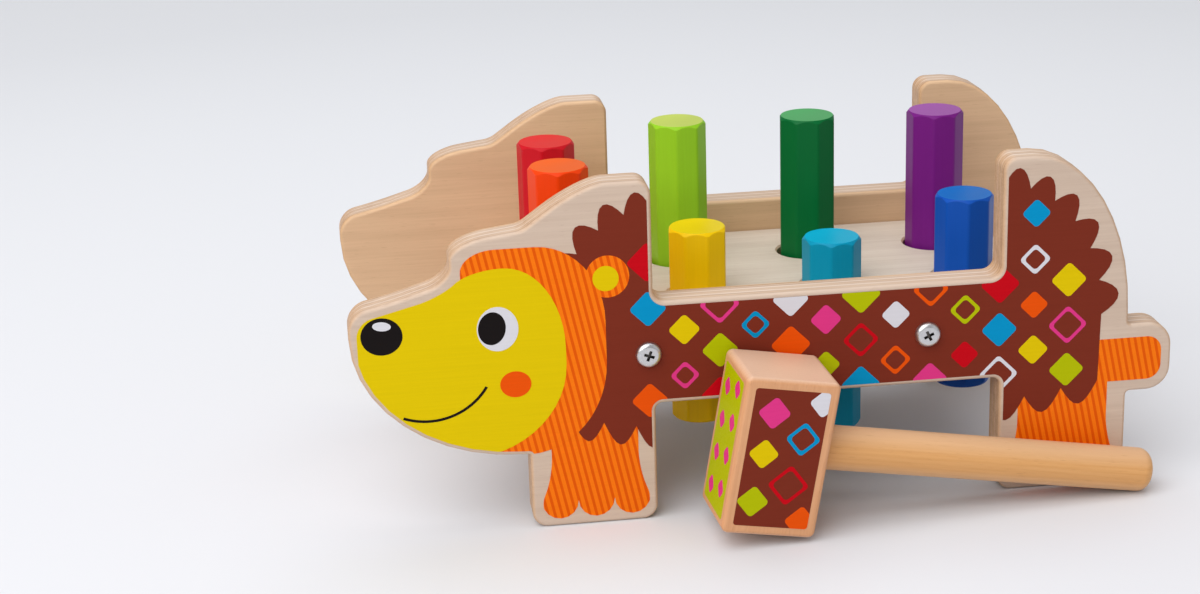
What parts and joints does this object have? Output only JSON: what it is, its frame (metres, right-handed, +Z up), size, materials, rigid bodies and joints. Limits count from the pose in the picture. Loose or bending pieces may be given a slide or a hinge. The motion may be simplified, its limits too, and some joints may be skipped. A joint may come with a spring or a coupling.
{
  "type": "pounding toy",
  "caption": "Wooden pounding toy: animal-shaped plywood side panels carry a board with painted pegs that slide through when struck with its loose mallet.",
  "frame": {"origin": "on the floor, under the middle of the box round the whole set with its mallet", "axes": "+X from the nose to the tail, +Y from the front panel to the rear panel, +Z up"},
  "size_m": [0.2706, 0.1544, 0.115],
  "materials": {
    "panel_plywood": "birch plywood, satin lacquer",
    "board_plywood": "birch plywood, satin lacquer",
    "red_paint": "satin paint on wood",
    "light_green_paint": "satin paint on wood",
    "dark_green_paint": "satin paint on wood",
    "purple_paint": "satin paint on wood",
    "orange_paint": "satin paint on wood",
    "yellow_paint": "satin paint on wood",
    "sky_blue_paint": "satin paint on wood",
    "blue_paint": "satin paint on wood",
    "grip_rubber": "matt black rubber",
    "screw_steel": "bright zinc plate",
    "mallet_head_wood": "lacquered beech",
    "mallet_handle_wood": "lacquered hardwood dowel",
    "print_brown": "screen print",
    "print_orange": "screen print",
    "print_yellow": "screen print",
    "print_black": "screen print",
    "print_white": "screen print",
    "print_lime": "screen print",
    "print_pink": "screen print",
    "print_blue": "screen print",
    "print_red": "screen print"
  },
  "bodies": {
    "frame": {"front_panel": "panel_plywood", "rear_panel": "panel_plywood", "peg_board": "board_plywood", "red_grip_ring": "grip_rubber", "light_green_grip_ring": "grip_rubber", "dark_green_grip_ring": "grip_rubber", "purple_grip_ring": "grip_rubber", "orange_grip_ring": "grip_rubber", "yellow_grip_ring": "grip_rubber", "sky_blue_grip_ring": "grip_rubber", "blue_grip_ring": "grip_rubber", "front_screw_1": "screw_steel", "front_screw_2": "screw_steel", "rear_screw_1": "screw_steel", "rear_screw_2": "screw_steel"},
    "red_peg": {"red_peg": "red_paint"},
    "light_green_peg": {"light_green_peg": "light_green_paint"},
    "dark_green_peg": {"dark_green_peg": "dark_green_paint"},
    "purple_peg": {"purple_peg": "purple_paint"},
    "orange_peg": {"orange_peg": "orange_paint"},
    "yellow_peg": {"yellow_peg": "yellow_paint"},
    "sky_blue_peg": {"sky_blue_peg": "sky_blue_paint"},
    "blue_peg": {"blue_peg": "blue_paint"},
    "mallet": {"mallet_head": "mallet_head_wood", "mallet_handle": "mallet_handle_wood"}
  },
  "joints": [
    {"name": "red_peg_slide", "type": "slide", "parent": "frame", "child": "red_peg", "axis": [0, 0, 1], "range_m": [-0.0403, 0.0047]},
    {"name": "light_green_peg_slide", "type": "slide", "parent": "frame", "child": "light_green_peg", "axis": [0, 0, 1], "range_m": [-0.0449, 0.0001]},
    {"name": "dark_green_peg_slide", "type": "slide", "parent": "frame", "child": "dark_green_peg", "axis": [0, 0, 1], "range_m": [-0.0442, 0.0008]},
    {"name": "purple_peg_slide", "type": "slide", "parent": "frame", "child": "purple_peg", "axis": [0, 0, 1], "range_m": [-0.0434, 0.0016]},
    {"name": "orange_peg_slide", "type": "slide", "parent": "frame", "child": "orange_peg", "axis": [0, 0, 1], "range_m": [-0.04235, 0.00265]},
    {"name": "yellow_peg_slide", "type": "slide", "parent": "frame", "child": "yellow_peg", "axis": [0, 0, 1], "range_m": [-0.0185, 0.0265]},
    {"name": "sky_blue_peg_slide", "type": "slide", "parent": "frame", "child": "sky_blue_peg", "axis": [0, 0, 1], "range_m": [-0.0119, 0.0331]},
    {"name": "blue_peg_slide", "type": "slide", "parent": "frame", "child": "blue_peg", "axis": [0, 0, 1], "range_m": [-0.024, 0.021]},
    {"name": "mallet_lift", "type": "slide", "parent": "frame", "child": "mallet", "axis": [0, 0, 1], "range_m": [0, 0.12]}
  ]
}
